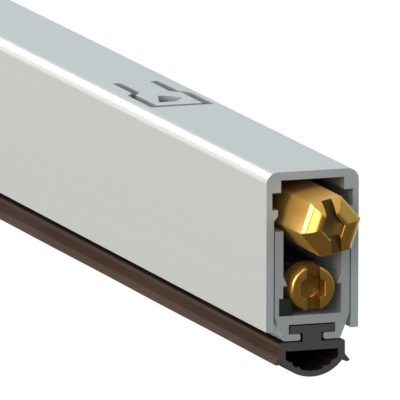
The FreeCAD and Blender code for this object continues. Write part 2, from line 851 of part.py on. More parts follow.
# Small fasteners: cross pins, rod pins, grub screws in the fixed blocks and rivets in the shoes.
def make_fasteners():
    for label, eyes in (("slider_pins", slider_eyes), ("anchor_pins", anchor_eyes)):
        pins = []
        for number, eye in enumerate(eyes):
            name = f"{label}_{number}"
            pins.append(cross_cylinder(name, eye, size.pin_diameter, eye_depth, block_waist))
        group(label, pins)
    rod_pins = []
    for number, eye in enumerate(slider_eyes):
        x = eye + size.rod_pin_offset
        top, length = -size.rod_pin_top, fork_top - size.rod_pin_top
        rod_pins.append(upright_cylinder(f"rod_pin_{number}", x, size.rod_pin_diameter, top, length))
    group("rod_pins", rod_pins)
    grubs = []
    for number, eye in enumerate(anchor_eyes):
        x, top = eye + size.grub_offset, -size.roof_thickness
        length = size.rod_depth - rod_bore / 2 - size.roof_thickness - size.grub_gap
        socket_top = top - length + size.grub_socket_depth
        shank = upright_cylinder(f"grub_{number}", x, size.grub_diameter, top, length)
        name = f"grub_key_{number}"
        key = upright_cylinder(name, x, size.grub_socket, socket_top, size.grub_socket_depth)
        grub = doc.addObject("Part::Cut", f"grub_screw_{number}")
        grub.Base = shank
        grub.Tool = key
        grubs.append(grub)
    group("grub_screws", grubs)
    rivets = []
    for number, middle in enumerate(middles):
        head_bottom = -(shoe_top - size.spring_thickness - size.pin_clearance)
        length = rivet_foot + head_bottom - size.pin_clearance
        shank = upright_cylinder(f"rivet_shank_{number}", middle, size.rivet_diameter, head_bottom, length)
        head = doc.addObject("Part::Cone", f"rivet_head_{number}")
        bind(head, "Radius1", size.rivet_head / 2)
        bind(head, "Radius2", size.rivet_head / 3)
        bind(head, "Height", size.rivet_head_height)
        bind(head, "Placement.Base.x", middle)
        bind(head, "Placement.Base.z", head_bottom)
        rivet = doc.addObject("Part::Fuse", f"rivet_{number}")
        rivet.Base = shank
        rivet.Tool = head
        rivets.append(rivet)
    group("shoe_rivets", rivets)


def report_faults():
    """Stop if any object failed, any sub-part is empty or broken, or any pocket removed nothing."""
    for item in doc.Objects:
        if "Invalid" in item.State or "Error" in item.State:
            raise RuntimeError(f"{item.Label} failed: {item.State}")
        if item.TypeId == "PartDesign::Pocket" and item.Shape.Volume > item.BaseFeature.Shape.Volume - 1e-6:
            raise RuntimeError(f"{item.Label} cuts nothing")
    for node in nodes:
        if node.Shape.isNull() or not node.Shape.isValid():
            raise RuntimeError(f"{node.Label} has no valid shape")


make_casing()
make_drop_bar()
make_gasket()
make_corner_strip()
make_rod_guide()
for name, eye in zip(("front_anchor", "rear_anchor"), anchor_eyes):
    make_spring_block(name, eye, size.grub_offset, grub_hole)
for name, eye in zip(("front_slider", "rear_slider"), slider_eyes):
    make_spring_block(name, eye, size.rod_pin_offset, rod_pin_hole)
make_push_rod()
make_knob()
make_lock_nut()
make_spring_washer()
make_return_spring()
for name, eye in zip(("front_leaf_spring", "rear_leaf_spring"), slider_eyes):
    make_leaf_spring(name, eye)
for name, middle in zip(("front_shoe", "rear_shoe"), middles):
    make_shoe(name, middle)
make_screw_block()
make_adjusting_screw()
make_fasteners()
doc.recompute()
report_faults()

os.makedirs("parts", exist_ok=True)
for node in nodes:
    node.Shape.exportStep(f"parts/{node.Label}.step")
    print(node.Label, len(node.Shape.Solids), round(node.Shape.Volume, 2))
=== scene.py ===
# Automatic door bottom seal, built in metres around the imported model.
# X runs along the bar towards the push knob, Y runs across it, and Z is up out of the roof.
import json
import math

import bpy
import numpy as np
from mathutils import Matrix, Vector
from mathutils.geometry import tessellate_polygon


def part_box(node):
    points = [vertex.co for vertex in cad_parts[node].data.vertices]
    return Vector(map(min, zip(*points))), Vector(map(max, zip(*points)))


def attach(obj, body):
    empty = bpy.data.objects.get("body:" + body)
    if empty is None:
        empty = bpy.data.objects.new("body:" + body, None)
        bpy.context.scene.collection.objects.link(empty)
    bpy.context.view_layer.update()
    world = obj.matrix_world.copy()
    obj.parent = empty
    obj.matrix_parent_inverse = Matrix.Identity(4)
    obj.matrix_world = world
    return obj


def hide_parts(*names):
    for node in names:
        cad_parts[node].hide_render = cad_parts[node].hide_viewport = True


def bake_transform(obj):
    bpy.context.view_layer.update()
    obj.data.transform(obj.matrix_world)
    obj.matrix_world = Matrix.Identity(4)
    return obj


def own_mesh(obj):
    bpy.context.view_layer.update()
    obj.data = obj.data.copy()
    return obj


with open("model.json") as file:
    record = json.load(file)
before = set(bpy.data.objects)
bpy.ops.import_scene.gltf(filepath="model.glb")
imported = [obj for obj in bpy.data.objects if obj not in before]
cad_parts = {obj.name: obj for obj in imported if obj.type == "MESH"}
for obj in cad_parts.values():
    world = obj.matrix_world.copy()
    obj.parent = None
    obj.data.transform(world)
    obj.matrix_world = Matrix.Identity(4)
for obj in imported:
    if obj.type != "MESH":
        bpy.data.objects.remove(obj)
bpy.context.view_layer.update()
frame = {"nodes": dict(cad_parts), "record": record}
nodes = frame["nodes"]


# Casing: aluminium extruded as an inverted channel, sawn to length and satin anodised.
# It is held in the groove under the door, and everything else runs inside it.
casing_colour = (0.455, 0.457, 0.450, 1)
# The sawn ends' darker colour: partly their own finish, partly painted shade.
casing_cut_shade_colour = (0.335, 0.357, 0.370, 1)
anodised_roughness = (0.33, 0.29)
anodised_metal = 0.55
anodised_dullness = 0.955
cut_roughness = 0.44
cut_metal = 0.40
cut_dullness = 0.94
anodised_relief = 0.12
line_depth = 0.00001
drawn_line_width = 0.0003
drawn_line_length = 0.06
cloud_fineness = 90.0
saw_line_width = 0.0002
saw_line_slant = 0.35
saw_line_fineness = 300.0
cut_start = 0.80
cut_fade = 0.15
noise_low = 0.2
noise_high = 0.8


def feed(tree, node, sockets):
    """Give a shader node's sockets numbers, colours or other nodes' outputs."""
    for name, value in sockets.items():
        if isinstance(value, bpy.types.NodeSocket):
            tree.links.new(value, node.inputs[name])
        else:
            node.inputs[name].default_value = value


def place(tree, kind, sockets=None, **settings):
    """Add a shader node with its own settings, and feed its sockets."""
    node = tree.nodes.new("ShaderNode" + kind)
    for name, setting in settings.items():
        setattr(node, name, setting)
    feed(tree, node, sockets or {})
    return node


def computed(tree, operation, *values):
    """Work out a number from others with a Math node."""
    return place(tree, "Math", dict(enumerate(values)), operation=operation).outputs[0]


def mapped(tree, value, low, high, to_low=0.0, to_high=1.0, soft=False):
    """Carry a value from one range to another and hold it past the ends. Soft eases in and out."""
    sockets = {"Value": value, "From Min": low, "From Max": high}
    sockets.update({"To Min": to_low, "To Max": to_high})
    ease = "SMOOTHSTEP" if soft else "LINEAR"
    return place(tree, "MapRange", sockets, interpolation_type=ease).outputs[0]


def number_between(tree, share, first, second):
    """Mix two numbers by a share from 0 to 1."""
    return mapped(tree, share, 0.0, 1.0, first, second)


def colour_between(tree, share, first, second):
    """Mix two colours by a share from 0 to 1. The Mix node's colours are its sockets 6 and 7."""
    return place(tree, "Mix", {0: share, 6: first, 7: second}, data_type="RGBA").outputs[2]


def new_group(name, inputs, outputs):
    """Start a shader node group with named number inputs and named number outputs."""
    group = bpy.data.node_groups.new(name, "ShaderNodeTree")
    new_socket = group.interface.new_socket
    for label, value in inputs.items():
        socket = new_socket(name=label, in_out="INPUT", socket_type="NodeSocketFloat")
        socket.default_value = value
    for label in outputs:
        new_socket(name=label, in_out="OUTPUT", socket_type="NodeSocketFloat")
    entry = group.nodes.new("NodeGroupInput")
    leave = group.nodes.new("NodeGroupOutput")
    return group, entry, leave


# Fine lines that a die leaves along the bar: noise drawn out along X, and a soft cloud.
line_inputs = {"Width": drawn_line_width, "Length": drawn_line_length}
drawn_lines, entry, leave = new_group("drawn_lines", line_inputs, ["Line", "Cloud"])
coordinate = place(drawn_lines, "TexCoord")
axes = place(drawn_lines, "SeparateXYZ", {"Vector": coordinate.outputs["Object"]}).outputs
stretched = place(drawn_lines, "CombineXYZ", {
    "X": computed(drawn_lines, "DIVIDE", axes["X"], entry.outputs["Length"]),
    "Y": computed(drawn_lines, "DIVIDE", axes["Y"], entry.outputs["Width"]),
    "Z": computed(drawn_lines, "DIVIDE", axes["Z"], entry.outputs["Width"]),
})
noise = place(drawn_lines, "TexNoise", {
    "Vector": stretched.outputs[0], "Scale": 1.0, "Detail": 3.0, "Roughness": 0.6,
})
cloud = place(drawn_lines, "TexNoise", {
    "Vector": coordinate.outputs["Object"], "Scale": cloud_fineness, "Detail": 2.0,
})
feed(drawn_lines, leave, {"Line": noise.outputs[0], "Cloud": cloud.outputs[0]})

# Sawn ends: a mask of the faces across the bar, and the fine lines that the saw leaves on them.
saw_inputs = {"Width": saw_line_width, "Start": cut_start}
sawn_end, entry, leave = new_group("sawn_end", saw_inputs, ["Cut", "Saw Line"])
coordinate = place(sawn_end, "TexCoord")
facing = place(sawn_end, "SeparateXYZ", {"Vector": coordinate.outputs["Normal"]}).outputs
axes = place(sawn_end, "SeparateXYZ", {"Vector": coordinate.outputs["Object"]}).outputs
turned = computed(sawn_end, "ABSOLUTE", facing["X"])
full = computed(sawn_end, "ADD", entry.outputs["Start"], cut_fade)
mask = mapped(sawn_end, turned, entry.outputs["Start"], full)
slope = computed(sawn_end, "MULTIPLY_ADD", axes["Y"], saw_line_slant, axes["Z"])
stretched = place(sawn_end, "CombineXYZ", {
    "X": computed(sawn_end, "DIVIDE", slope, entry.outputs["Width"]),
    "Y": computed(sawn_end, "MULTIPLY", axes["Y"], saw_line_fineness),
})
noise = place(sawn_end, "TexNoise", {"Vector": stretched.outputs[0], "Scale": 1.0, "Detail": 2.0})
feed(sawn_end, leave, {"Cut": mask, "Saw Line": noise.outputs[0]})


def start_material(name):
    """Start a node material, and return it with its tree and its Principled shader."""
    material = bpy.data.materials.new(name)
    material.use_nodes = True
    return material, material.node_tree, material.node_tree.nodes["Principled BSDF"]


def use_group(tree, group, **numbers):
    """Place a node group in a material with its own numbers, and return its outputs."""
    node = tree.nodes.new("ShaderNodeGroup")
    node.node_tree = group
    feed(tree, node, numbers)
    return node.outputs


def scaled(tree, value, low=0.0, high=1.0):
    """Spread a noise value, which lies about 0.5, softly over a range."""
    return mapped(tree, value, noise_low, noise_high, low, high, soft=True)


def dimmed(colour, share):
    """A colour with a share of its brightness."""
    return tuple(share * channel for channel in colour[:3]) + (1,)


def bump(tree, height, strength, depth):
    """The normals of a surface with fine relief of a strength and a depth."""
    sockets = {"Height": height, "Strength": strength, "Distance": depth}
    return place(tree, "Bump", sockets).outputs[0]


def aluminium(name, colour, cut_colour):
    """Anodised aluminium: drawn lines along its sides, and rougher sawn ends whose darker colour is
    partly their own finish and partly painted shade.
    """
    material, tree, shader = start_material(name)
    drawn = use_group(tree, drawn_lines, Width=drawn_line_width, Length=drawn_line_length)
    sawn = use_group(tree, sawn_end, Width=saw_line_width)
    dull, dull_cut = dimmed(colour, anodised_dullness), dimmed(cut_colour, cut_dullness)
    side = colour_between(tree, scaled(tree, drawn["Line"]), dull, colour)
    end = colour_between(tree, scaled(tree, sawn["Saw Line"]), dull_cut, cut_colour)
    side_roughness = scaled(tree, drawn["Line"], *anodised_roughness)
    relief = computed(tree, "MULTIPLY_ADD", sawn["Cut"], sawn["Saw Line"], drawn["Line"])
    feed(tree, shader, {
        "Base Color": colour_between(tree, sawn["Cut"], side, end),
        "Roughness": number_between(tree, sawn["Cut"], side_roughness, cut_roughness),
        "Metallic": number_between(tree, sawn["Cut"], anodised_metal, cut_metal),
        "Normal": bump(tree, relief, anodised_relief, line_depth),
    })
    return material


def dress(name, material):
    """Give a CAD node its finish."""
    nodes[name].data.materials.clear()
    nodes[name].data.materials.append(material)


casing_aluminium = aluminium("casing_aluminium", casing_colour, casing_cut_shade_colour)
dress("casing", casing_aluminium)


# Rod guide and spring blocks: black moulded nylon, slid along the casing's grooves.
# The guide is keyed by its nose in the roof's window, and the fixed blocks by grub screws.
nylon_colour = (0.026, 0.027, 0.030, 1)
nylon_roughness = 0.45
nylon_grain = 0.0004
nylon_shine = 0.35
patch_fineness = 120.0
worn_gain = 1.25
worn_lift = 0.004
patch_roughness = 0.06
grain_relief = 0.2
grain_depth = 0.00002

# Moulded skin: a fine grain with a slight change of gloss.
moulded_skin, entry, leave = new_group("moulded_skin", {"Grain": nylon_grain}, ["Height", "Gloss"])
coordinate = place(moulded_skin, "TexCoord")
grain = place(moulded_skin, "TexNoise", {
    "Vector": coordinate.outputs["Object"], "Detail": 2.0,
    "Scale": computed(moulded_skin, "DIVIDE", 1.0, entry.outputs["Grain"]),
})
patches = place(moulded_skin, "TexNoise", {
    "Vector": coordinate.outputs["Object"], "Scale": patch_fineness, "Detail": 1.0,
})
feed(moulded_skin, leave, {"Height": grain.outputs[0], "Gloss": patches.outputs[0]})


def moulded(name, colour, roughness, grain_size, shine):
    """Moulded plastic: one colour, slightly cloudy, with a grained skin."""
    material, tree, shader = start_material(name)
    skin = use_group(tree, moulded_skin, Grain=grain_size)
    worn = tuple(worn_gain * channel + worn_lift for channel in colour[:3]) + (1,)
    smooth, rough = roughness - patch_roughness, roughness + patch_roughness
    feed(tree, shader, {
        "Base Color": colour_between(tree, scaled(tree, skin["Gloss"]), colour, worn),
        "Roughness": scaled(tree, skin["Gloss"], smooth, rough),
        "Specular IOR Level": shine,
        "Normal": bump(tree, skin["Height"], grain_relief, grain_depth),
    })
    return material


black_nylon = moulded("black_nylon", nylon_colour, nylon_roughness, nylon_grain, nylon_shine)
for name in ("rod_guide", "front_anchor", "rear_anchor", "front_slider", "rear_slider"):
    dress(name, black_nylon)


# Push rod and its small steel parts: drawn steel rod, turned pins, lock nut and washer.
# The knob is screwed on the rod's front end and locked by the nut.
steel_colour = (0.50, 0.51, 0.52, 1)
steel_roughness = 0.28
steel_dullness = 0.82
steel_smoother = 0.05
steel_rougher = 0.08
steel_line_width = 0.0002
steel_line_length = 0.02
steel_relief = 0.15


def drawn_steel(name, colour, roughness):
    """Plated or blued steel: drawn lines along the bar and a cloudy gloss."""
    material, tree, shader = start_material(name)
    drawn = use_group(tree, drawn_lines, Width=steel_line_width, Length=steel_line_length)
    dull = dimmed(colour, steel_dullness)
    smooth, rough = roughness - steel_smoother, roughness + steel_rougher
    feed(tree, shader, {
        "Base Color": colour_between(tree, scaled(tree, drawn["Line"]), dull, colour),
        "Roughness": scaled(tree, drawn["Cloud"], smooth, rough),
        "Metallic": 1.0,
        "Normal": bump(tree, drawn["Line"], steel_relief, line_depth),
    })
    return material


zinc_steel = drawn_steel("zinc_steel", steel_colour, steel_roughness)
for name in ("push_rod", "lock_nut", "spring_washer", "slider_pins", "anchor_pins", "rod_pins",
             "grub_screws"):
    dress(name, zinc_steel)


# Return spring: hardened steel wire, wound round the rod between the guide and the washer.
# It pushes the knob out again when the door opens, and shortens as the knob goes in; here it is one
# stiff piece that moves with the rod.
spring_colour = (0.20, 0.21, 0.235, 1)
spring_roughness = 0.32
wire_radius = 0.0004
wire_sides = 12
coil_turns = 9
turn_steps = 40
closed_pitch = 2.1
sharp_angle = math.radians(32)

behaviour = frame["record"]["behaviour"]
ranges = {joint["name"]: joint.get("range_m") for joint in behaviour["joints"]}
push_travel = ranges["knob_push"][1]


def grid_faces(rows, columns, joined):
    """Quads between neighbouring rows and columns of a grid of points. Joined closes each row."""
    steps = columns if joined else columns - 1
    row, column = np.meshgrid(np.arange(rows - 1), np.arange(steps), indexing="ij")
    after = (column + 1) % columns
    here, beyond = row * columns, (row + 1) * columns
    corners = [here + column, here + after, beyond + after, beyond + column]
    return np.stack(corners, axis=-1).reshape(-1, 4)


def make_piece(name, points, faces, material, smooth=True):
    """Make an object from points and faces, with its place in its mesh."""
    mesh = bpy.data.meshes.new(name)
    mesh.from_pydata(np.asarray(points).tolist(), [], [list(face) for face in faces])
    mesh.polygons.foreach_set("use_smooth", np.full(len(mesh.polygons), smooth))
    mesh.set_sharp_from_angle(angle=sharp_angle)
    mesh.materials.append(material)
    mesh.update()
    piece = bpy.data.objects.new(name, mesh)
    bpy.context.scene.collection.objects.link(piece)
    return piece


def close_ends(points, faces, columns):
    """Close both ends of a tube of rings with a fan of triangles round the mean of its end ring.
    Triangles of the first end and of the last one take turns."""
    last = len(points) - columns
    middles = np.array([points[:columns].mean(axis=0), points[last:].mean(axis=0)])
    column = np.arange(columns)
    after = (column + 1) % columns
    hub = np.full(columns, len(points))
    first_fan = np.column_stack([hub, after, column])
    last_fan = np.column_stack([hub + 1, last + column, last + after])
    fans = np.stack([first_fan, last_fan], axis=1).reshape(-1, 3)
    return np.vstack([points, middles]), faces.tolist() + fans.tolist()


def coil_points(back, front, radius, height, turns, end_pitch):
    """Rings of a wire along a helix: an angle goes round the axis X while x goes from back to
    front. Each ring is a circle in the plane of the outward direction and X. The first and the
    last turn are closer."""
    share = np.linspace(0, turns, turns * turn_steps + 1)
    turn = 2 * np.pi * share
    outward = np.stack([np.zeros_like(turn), np.cos(turn), np.sin(turn)], axis=-1)
    ends = [back, back + end_pitch, front - end_pitch, front]
    x = np.interp(share, [0, 1, turns - 1, turns], ends)
    middle = np.stack([x, np.zeros_like(x), np.full_like(x, height)], axis=-1) + radius * outward
    angle = np.linspace(0, 2 * np.pi, wire_sides, endpoint=False)
    ring = wire_radius * (np.cos(angle)[None, :, None] * outward[:, None, :]
                          - np.sin(angle)[None, :, None] * np.array([1, 0, 0]))
    return (middle[:, None, :] + ring).reshape(-1, 3)


blued_steel = drawn_steel("blued_steel", spring_colour, spring_roughness)
low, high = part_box("return_spring")
rod_low, rod_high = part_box("push_rod")
rod_height = (rod_low.z + rod_high.z) / 2
coil_radius = (high.y - low.y) / 2 - wire_radius
coil_keep = 1 - push_travel / (high.x - low.x)
end_pitch = closed_pitch * wire_radius / coil_keep
coil_back, coil_front = low.x + wire_radius, high.x - wire_radius
points = coil_points(coil_back, coil_front, coil_radius, rod_height, coil_turns, end_pitch)
faces = grid_faces(len(points) // wire_sides, wire_sides, True)
points, faces = close_ends(points, faces, wire_sides)
return_coil = make_piece("return_coil", points, faces, blued_steel)
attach(return_coil, "push_rod")
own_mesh(return_coil)
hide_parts("return_spring")


# Push knob: brass hexagon bar, its front milled into six domed facets round a key socket.
# A driver slot crosses the front, and the knob stands out of the casing to meet the door frame.
knob_flat = 0.004
knob_front = 0.0013
knob_crown = 0.00165
knob_bulge = math.radians(28)
knob_edge = 0.0003
knob_socket = 0.0015
knob_socket_depth = 0.0020
knob_slot = 0.0015
knob_slot_depth = 0.00125
knob_slot_length = 0.012
knob_turn = math.radians(11)
knob_bore = 0.00255
knob_bore_depth = 0.0095
knob_bore_cone = 0.0008
socket_cone = 0.0001
axis_radius = 0.00001
hexagon_sharpness = 70
knob_columns = 288
knob_side_rings = 8
knob_dome_rings = 15
brass_colour = (0.73, 0.40, 0.090, 1)
brass_dark = (0.64, 0.34, 0.072, 1)
brass_satin = (0.26, 0.36)
brass_shine = 0.1
brass_relief = 0.10
tool_line_width = 0.00018
tool_line_length = 0.0022
tool_line_depth = 0.000008
mill_line_width = 0.0002
milled_start = 0.35
knob_front_roughness = 0.12
knob_side_metal = 0.55
# Painted shade: behind the front length below, the knob's brass darkens over the next length to the
# colour inside the casing.
knob_unshaded_length = 0.0018
inside_shade_colour = (0.45, 0.28, 0.085, 1)
inside_shade_length = 0.0122
# Painted shade: darker brass for the slots and the sockets, where shade falls in the recesses.
recess_shade_colour = (0.32, 0.19, 0.045, 1)
recess_shade_dark = (0.24, 0.13, 0.03, 1)
recess_roughness = 0.28
knob_recess_shade_colour = (0.24, 0.16, 0.06, 1)
knob_recess_shade_dark = (0.18, 0.11, 0.04, 1)


def hexagon_radius(angle, turn, sharpness):
    """Radius of a hexagon one across its half flats: each flat k gives cos(angle - flat k), and
    the sum of their high powers picks the largest, so the corners are a little rounded."""
    flats = turn + np.pi / 6 + np.arange(6) * np.pi / 3
    cosines = np.maximum(np.cos(angle[:, None] - flats[None, :]), 0)
    return (cosines**sharpness).sum(axis=1) ** (-1 / sharpness)


def turned_points(stations, angle, shape, height):
    """Rings round the axis X at a height: each station is x, radius, and how much of the shape it
    takes, so a share of 0 is a circle and a share of 1 is the whole hexagon."""
    x, radius, share = (np.array(values)[:, None] for values in zip(*stations))
    reach = radius * (1 + share * (shape[None, :] - 1))
    across = reach * np.cos(angle)[None, :]
    upward = reach * np.sin(angle)[None, :] + height
    return np.stack([np.broadcast_to(x, reach.shape), across, upward], axis=-1).reshape(-1, 3)


def object_axes(tree):
    """X, Y and Z of the place on the piece."""
    coordinate = place(tree, "TexCoord")
    return place(tree, "SeparateXYZ", {"Vector": coordinate.outputs["Object"]}).outputs


def brass(name, colour, dark, front_roughness, side_metal, unshaded_x):
    """Brass with fine tool lines: satin drawn sides along the bar, and a brighter milled front.
    Behind the place x it darkens over a length to a painted shade, the casing's shade on it."""
    material, tree, shader = start_material(name)
    drawn = use_group(tree, drawn_lines, Width=tool_line_width, Length=tool_line_length)
    milled = use_group(tree, sawn_end, Width=mill_line_width, Start=milled_start)
    tone = colour_between(tree, scaled(tree, drawn["Line"]), dark, colour)
    # Painted shade: the colour darkens behind the place x.
    unshaded_share = mapped(tree, object_axes(tree)["X"], unshaded_x - inside_shade_length, unshaded_x)
    satin = scaled(tree, drawn["Cloud"], *brass_satin)
    feed(tree, shader, {
        "Base Color": colour_between(tree, unshaded_share, inside_shade_colour, tone),
        "Roughness": number_between(tree, milled["Cut"], satin, front_roughness),
        "Metallic": number_between(tree, milled["Cut"], side_metal, 1.0),
        "Specular IOR Level": brass_shine,
        "Normal": bump(tree, drawn["Line"], brass_relief, tool_line_depth),
    })
    return material


def cut_away(piece, cutters):
    """Cut pieces out of a piece for good, and remove the cutters."""
    for cutter in cutters:
        modifier = piece.modifiers.new("cut", "BOOLEAN")
        modifier.operation = "DIFFERENCE"
        modifier.object = cutter
        modifier.solver = "EXACT"
        modifier.material_mode = "TRANSFER"
    bpy.context.view_layer.update()
    evaluated = piece.evaluated_get(bpy.context.evaluated_depsgraph_get())
    finished = bpy.data.meshes.new_from_object(evaluated)
    finished.set_sharp_from_angle(angle=sharp_angle)
    piece.modifiers.clear()
    piece.data = finished
    for cutter in cutters:
        bpy.data.objects.remove(cutter)


def slot_cutter(name, x, depth, width, length, turn, height, material):
    """A long block that leaves a slot across a face, open to the front. Its eight corners are all
    signs of half its width and half its length, turned round X, at its back and at its front."""
    halves = [0, 1], [-width / 2, width / 2], [-length / 2, length / 2]
    front, across, along = (grid.ravel() for grid in np.meshgrid(*halves, indexing="ij"))
    y = across * math.cos(turn) - along * math.sin(turn)
    z = across * math.sin(turn) + along * math.cos(turn)
    corners = np.column_stack([x - depth + front * 2 * depth, y, z + height])
    faces = [(0, 1, 3, 2), (4, 6, 7, 5), (0, 4, 5, 1), (2, 3, 7, 6), (0, 2, 6, 4), (1, 5, 7, 3)]
    return make_piece(name, corners, faces, material, smooth=False)


def paint_socket_shade(piece, columns, rows_in_socket, material, unshaded_rows=()):
    """Give the last rows of a turned piece's grid, which are its socket, darker brass as painted
    shade in its recesses. Rows given last, counted back from the last, keep the front's finish
    without the painted shade."""
    piece.data.materials.append(material)
    indices = np.zeros(len(piece.data.polygons), dtype=int)
    in_grid = len(indices) - 2 * columns
    indices[in_grid - rows_in_socket * columns:in_grid] = 1
    indices[in_grid + 1::2] = 1
    for row in unshaded_rows:
        indices[in_grid - row * columns:in_grid - (row - 1) * columns] = 0
    piece.data.polygons.foreach_set("material_index", indices)


low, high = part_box("push_knob")
rim_x, front_x, tail_x = high.x - knob_front, high.x, low.x
# Painted shade on the knob's brass starts behind this place.
unshaded_x = high.x - knob_front - knob_unshaded_length
screw_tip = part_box("adjusting_screw")[0].x
bright_brass = brass("bright_brass", brass_colour, brass_dark, knob_front_roughness,
                     knob_side_metal, unshaded_x)
# Painted shade: the darker brass of the recesses.
shaded_recess_brass = brass("shaded_recess_brass", recess_shade_colour, recess_shade_dark, recess_roughness, 1.0, screw_tip)
shaded_knob_recess = brass("shaded_knob_recess", knob_recess_shade_colour, knob_recess_shade_dark, recess_roughness, 1.0,
                    screw_tip)

# Each front facet bulges: from the rim to the crown it follows a circle's arc over its chord.
chord = math.hypot(knob_front, knob_flat - knob_crown)
mean_lean = math.atan2(knob_front, knob_flat - knob_crown)
dome_radius = chord / (2 * math.sin(knob_bulge))
leans = np.linspace(mean_lean + knob_bulge, mean_lean - knob_bulge, knob_dome_rings)
dome_x = rim_x + dome_radius * (np.cos(leans) - math.cos(leans[0]))
dome_r = knob_flat + dome_radius * (np.sin(leans) - math.sin(leans[0]))
bore_end = tail_x + knob_bore_depth
socket_end = front_x - knob_socket_depth
stations = [
    (bore_end + knob_bore_cone, axis_radius, 0),
    (bore_end, knob_bore, 0),
    (tail_x + knob_edge, knob_bore, 0),
    (tail_x, knob_bore + 0.0002, 0),
    (tail_x, knob_flat - knob_edge, 0.5),
    (tail_x + knob_edge, knob_flat, 1),
]
stations += [(x, knob_flat, 1) for x in np.linspace(tail_x + 0.002, rim_x, knob_side_rings)]
stations += [(x, radius, 1) for x, radius in zip(dome_x[1:], dome_r[1:])]
stations += [
    (front_x - 0.00004, knob_socket + 0.00003, 1),
    (front_x - 0.0002, knob_socket, 1),
    (socket_end, knob_socket, 1),
    (socket_end - socket_cone, axis_radius, 0),
]
angle = np.linspace(0, 2 * np.pi, knob_columns, endpoint=False) + knob_turn
hexagon = hexagon_radius(angle, knob_turn, hexagon_sharpness)
points = turned_points(stations, angle, hexagon, rod_height)
faces = grid_faces(len(stations), knob_columns, True)
points, faces = close_ends(points, faces, knob_columns)
push_knob = make_piece("knob_body", points, faces, bright_brass)
paint_socket_shade(push_knob, knob_columns, 2, shaded_knob_recess)
slot = slot_cutter("knob_slot", front_x, knob_slot_depth, knob_slot, knob_slot_length, knob_turn,
                   rod_height, shaded_knob_recess)
cut_away(push_knob, [slot])
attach(push_knob, "push_knob")
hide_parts("push_knob")


# Drop bar: the second aluminium extrusion, which runs up and down between the casing's walls.
# Its ribs hold the spring shoes and the screw block, and its T-slot holds the gasket.
bar_colour = (0.50, 0.52, 0.54, 1)
# The sawn ends' darker colour: partly their own finish, partly painted shade.
bar_cut_shade_colour = (0.296, 0.314, 0.324, 1)

bar_aluminium = aluminium("bar_aluminium", bar_colour, bar_cut_shade_colour)
dress("drop_bar", bar_aluminium)


# Gasket: brown rubber, extruded with a T-shaped root, a slab with two side fins and a hollow bulb.
# The root is slid into the bar's T-slot, and the bulb is pressed on the floor when the door shuts.
head_half = 0.00333
stem_half = 0.00142
head_height = 0.00114
head_gap = 0.00012
stem_height = 0.00124
slab_half = 0.005025
slab_thickness = 0.00125
fin_below_slab = 0.00210
fin_reach = 0.00078
fin_drop = 0.00095
fin_thickness = 0.00045
bulb_radius = 0.0059
bulb_wall = 0.00085
bulb_points = 41
corner_points = 6
chamber_half = 0.0040
chamber_top_points = 17
chamber_floor_points = 121
chamber_rib = 0.00028
chamber_rib_places = (-40, -24, 24, 40)
chamber_rib_spread = math.radians(3.2)
gasket_rings = 111
wander_across = 0.00002
wander_upward = 0.000015
wander_end = 0.001
rubber_side_colour = (0.040, 0.021, 0.014, 1)
# Painted light on the fins and below the slab's top, and a painted shadow along the top's edge.
rubber_fin_painted_light = (0.060, 0.035, 0.025, 1)
rubber_painted_light = (0.061, 0.035, 0.0255, 1)
rubber_painted_shadow = (0.004, 0.0025, 0.002, 1)
rubber_cut_colour = (0.052, 0.049, 0.047, 1)
# Painted shade: near-black rubber for the hollow's faces.
chamber_shade_colour = (0.012, 0.0085, 0.009, 1)
rubber_dullness = 0.72
rubber_roughness = (0.68, 0.80)
rubber_shine = 0.06
rubber_relief = 0.25
rubber_line_width = 0.0002
rubber_line_length = 0.03
rubber_line_depth = 0.00002
rubber_saw_width = 0.0003
painted_light_band = (-0.0009, -0.0005)
painted_shadow_band = (-0.00025, -0.00005)
fin_painted_light_band = (0.0, 0.0001)


def round_corners(corners, steps):
    """Points of a closed outline whose corners (y, z, radius) are rounded: each corner gives an
    arc that touches both its sides, from the tangent point on one to that on the other."""
    outline = []
    count = len(corners)
    for index, (y, z, radius) in enumerate(corners):
        here = np.array([y, z])
        to_last = np.array(corners[index - 1][:2]) - here
        to_next = np.array(corners[(index + 1) % count][:2]) - here
        to_last, to_next = to_last / np.linalg.norm(to_last), to_next / np.linalg.norm(to_next)
        half = math.acos(np.clip(to_last @ to_next, -1, 1)) / 2
        if radius == 0 or half > math.radians(89):
            outline.append(here[None, :])
            continue
        inward = (to_last + to_next) / np.linalg.norm(to_last + to_next)
        middle = here + inward * radius / math.sin(half)
        first = here + to_last * radius / math.tan(half) - middle
        last = here + to_next * radius / math.tan(half) - middle
        start, sweep = math.atan2(first[1], first[0]), math.atan2(last[1], last[0])
        sweep = (sweep - start + math.pi) % (2 * math.pi) - math.pi
        bend = start + np.linspace(0, 1, steps) * sweep
        outline.append(middle + radius * np.stack([np.cos(bend), np.sin(bend)], axis=-1))
    return np.vstack(outline)


def carried_profile(outline, stations, ripple):
    """The outline carried along X: at each station x it is moved by ripple(x) in y and z."""
    x = np.repeat(stations, len(outline))
    moved = np.repeat(ripple(stations), len(outline), axis=0)
    return np.column_stack([x, np.tile(outline, (len(stations), 1)) + moved])


def end_triangles(outline, holes):
    """Triangles of a flat region with holes, as indices into its outlines one after another."""
    loops = [[Vector((y, z, 0)) for y, z in loop] for loop in [outline] + holes]
    return [list(triangle) for triangle in tessellate_polygon(loops)]


